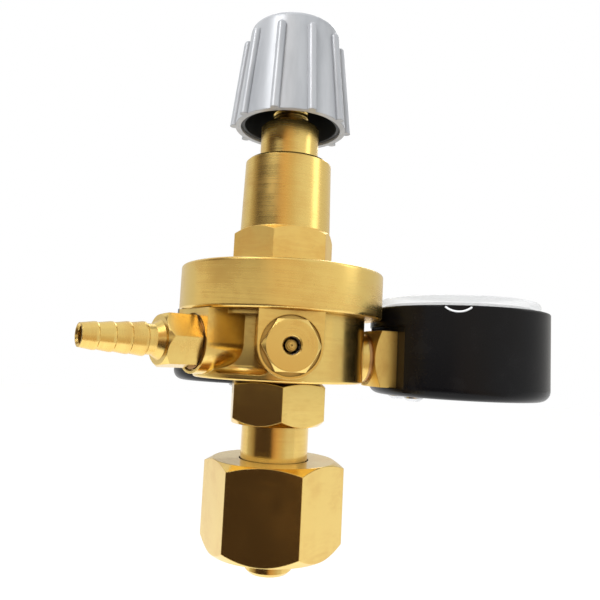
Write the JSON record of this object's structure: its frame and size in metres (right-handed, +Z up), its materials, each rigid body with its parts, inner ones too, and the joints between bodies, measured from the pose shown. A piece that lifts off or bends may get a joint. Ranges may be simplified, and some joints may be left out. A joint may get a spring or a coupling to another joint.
{
  "type": "gas pressure regulator",
  "caption": "Brass gas pressure regulator with union nut inlet, domed spring housing, ribbed adjusting knob, hose barb outlet, relief valve and tank and outlet dial gauges.",
  "frame": {"origin": "centre of the inlet nose's sealing face, where it seats in the cylinder valve", "axes": "+Z up the regulator's axis from the inlet to the knob; the tank gauge stands 12 degrees counterclockwise from +X and the hose barb at 215 degrees"},
  "size_m": [0.1211, 0.1088, 0.1455],
  "materials": {
    "brass": "brushed and turned",
    "spring_steel": "drawn wire",
    "stainless": "satin",
    "silver_plastic": "satin silver",
    "black_plastic": "gloss",
    "rubber": "matt",
    "white_plastic": "matt",
    "sintered_bronze": "grainy",
    "copper_washer": "satin",
    "clear_plastic": "clear gloss",
    "dial_white": "matt with plain scale",
    "needle_black": "satin",
    "bronze_tube": "satin"
  },
  "bodies": {
    "regulator": {"body": "brass", "cap": "brass", "spring_housing": "brass", "main_spring": "spring_steel", "diaphragm": "rubber", "slip_ring": "stainless", "valve_nozzle": "brass", "poppet_spring": "stainless", "inlet_stem": "brass", "stem_washer": "copper_washer", "inlet_filter": "sintered_bronze", "hose_barb": "brass", "barb_washer": "copper_washer", "relief_cap": "brass", "tank_gauge_case": "black_plastic", "tank_gauge_lens": "clear_plastic", "tank_gauge_dial": "dial_white", "tank_gauge_tube": "bronze_tube", "tank_gauge_tube_tip": "brass", "tank_gauge_socket": "brass", "tank_gauge_movement_plates": "brass", "tank_gauge_hairspring": "bronze_tube", "tank_gauge_case_screws": "stainless", "tank_gauge_dial_screws": "stainless", "tank_gauge_seal": "copper_washer", "outlet_gauge_case": "black_plastic", "outlet_gauge_lens": "clear_plastic", "outlet_gauge_dial": "dial_white", "outlet_gauge_tube": "bronze_tube", "outlet_gauge_tube_tip": "brass", "outlet_gauge_socket": "brass", "outlet_gauge_movement_plates": "brass", "outlet_gauge_hairspring": "bronze_tube", "outlet_gauge_case_screws": "stainless", "outlet_gauge_dial_screws": "stainless", "outlet_gauge_seal": "copper_washer"},
    "feed": {"spring_button": "brass"},
    "knob": {"knob_shell": "silver_plastic", "knob_core": "black_plastic", "adjusting_screw": "brass"},
    "diaphragm_stack": {"diaphragm_plate": "brass"},
    "poppet": {"valve_poppet": "brass", "poppet_seat": "white_plastic"},
    "relief": {"relief_poppet": "brass", "relief_seal": "rubber", "relief_spring": "stainless"},
    "nut": {"union_nut": "brass"},
    "tank_needle": {"tank_gauge_needle": "needle_black", "tank_gauge_pinion": "brass"},
    "tank_sector": {"tank_gauge_sector": "brass"},
    "tank_link": {"tank_gauge_link": "stainless"},
    "outlet_needle": {"outlet_gauge_needle": "needle_black", "outlet_gauge_pinion": "brass"},
    "outlet_sector": {"outlet_gauge_sector": "brass"},
    "outlet_link": {"outlet_gauge_link": "stainless"}
  },
  "joints": [
    {"name": "spring_feed", "type": "slide", "parent": "regulator", "child": "feed", "axis": [0, 0, -1], "range_m": [0, 0.0075], "deforming": ["main_spring"]},
    {"name": "knob_turn", "type": "hinge", "parent": "feed", "child": "knob", "pos_m": [0, 0, 0.13], "axis": [0, 0, -1], "range_deg": [0, 1800]},
    {"name": "diaphragm_travel", "type": "slide", "parent": "regulator", "child": "diaphragm_stack", "axis": [0, 0, -1], "range_m": [0, 0.0005], "stiffness_N_per_m": 1000, "springref_m": -0.0003, "deforming": ["diaphragm"]},
    {"name": "poppet_travel", "type": "slide", "parent": "regulator", "child": "poppet", "axis": [0, 0, -1], "range_m": [0, 0.00051], "deforming": ["poppet_spring"]},
    {"name": "relief_lift", "type": "slide", "parent": "regulator", "child": "relief", "axis": [0.1045, -0.9945, 0], "range_m": [0, 0.0006], "stiffness_N_per_m": 1500, "springref_m": -0.0003},
    {"name": "nut_spin", "type": "hinge", "parent": "regulator", "child": "nut", "pos_m": [0, 0, 0.017], "axis": [0, 0, 1], "continuous": true},
    {"name": "tank_needle_turn", "type": "hinge", "parent": "regulator", "child": "tank_needle", "pos_m": [0.05116, 0.01087, 0.06], "axis": [0, 0, -1], "range_deg": [0, 270], "stiffness_Nm_per_rad": 0.00001},
    {"name": "tank_sector_turn", "type": "hinge", "parent": "regulator", "child": "tank_sector", "pos_m": [0.05282, 0.00305, 0.06], "axis": [0, 0, 1], "range_deg": [0, 47.7]},
    {"name": "tank_link_pull", "type": "slide", "parent": "regulator", "child": "tank_link", "axis": [0.9781, 0.2079, 0], "range_m": [0, 0.00291]},
    {"name": "outlet_needle_turn", "type": "hinge", "parent": "regulator", "child": "outlet_needle", "pos_m": [-0.01087, 0.05116, 0.06], "axis": [0, 0, -1], "range_deg": [0, 270], "stiffness_Nm_per_rad": 0.00001},
    {"name": "outlet_sector_turn", "type": "hinge", "parent": "regulator", "child": "outlet_sector", "pos_m": [-0.00305, 0.05282, 0.06], "axis": [0, 0, 1], "range_deg": [0, 47.7]},
    {"name": "outlet_link_pull", "type": "slide", "parent": "regulator", "child": "outlet_link", "axis": [-0.2079, 0.9781, 0], "range_m": [0, 0.00291]}
  ],
  "couplings": [
    {"joint": "knob_turn", "follows": "spring_feed", "rad_per_m": 4188.8},
    {"joint": "poppet_travel", "follows": "diaphragm_travel", "ratio": 1},
    {"joint": "tank_needle_turn", "follows": "tank_link_pull", "rad_per_m": 1620.4},
    {"joint": "tank_sector_turn", "follows": "tank_link_pull", "rad_per_m": 285.95},
    {"joint": "outlet_needle_turn", "follows": "outlet_link_pull", "rad_per_m": 1620.4},
    {"joint": "outlet_sector_turn", "follows": "outlet_link_pull", "rad_per_m": 285.95}
  ]
}
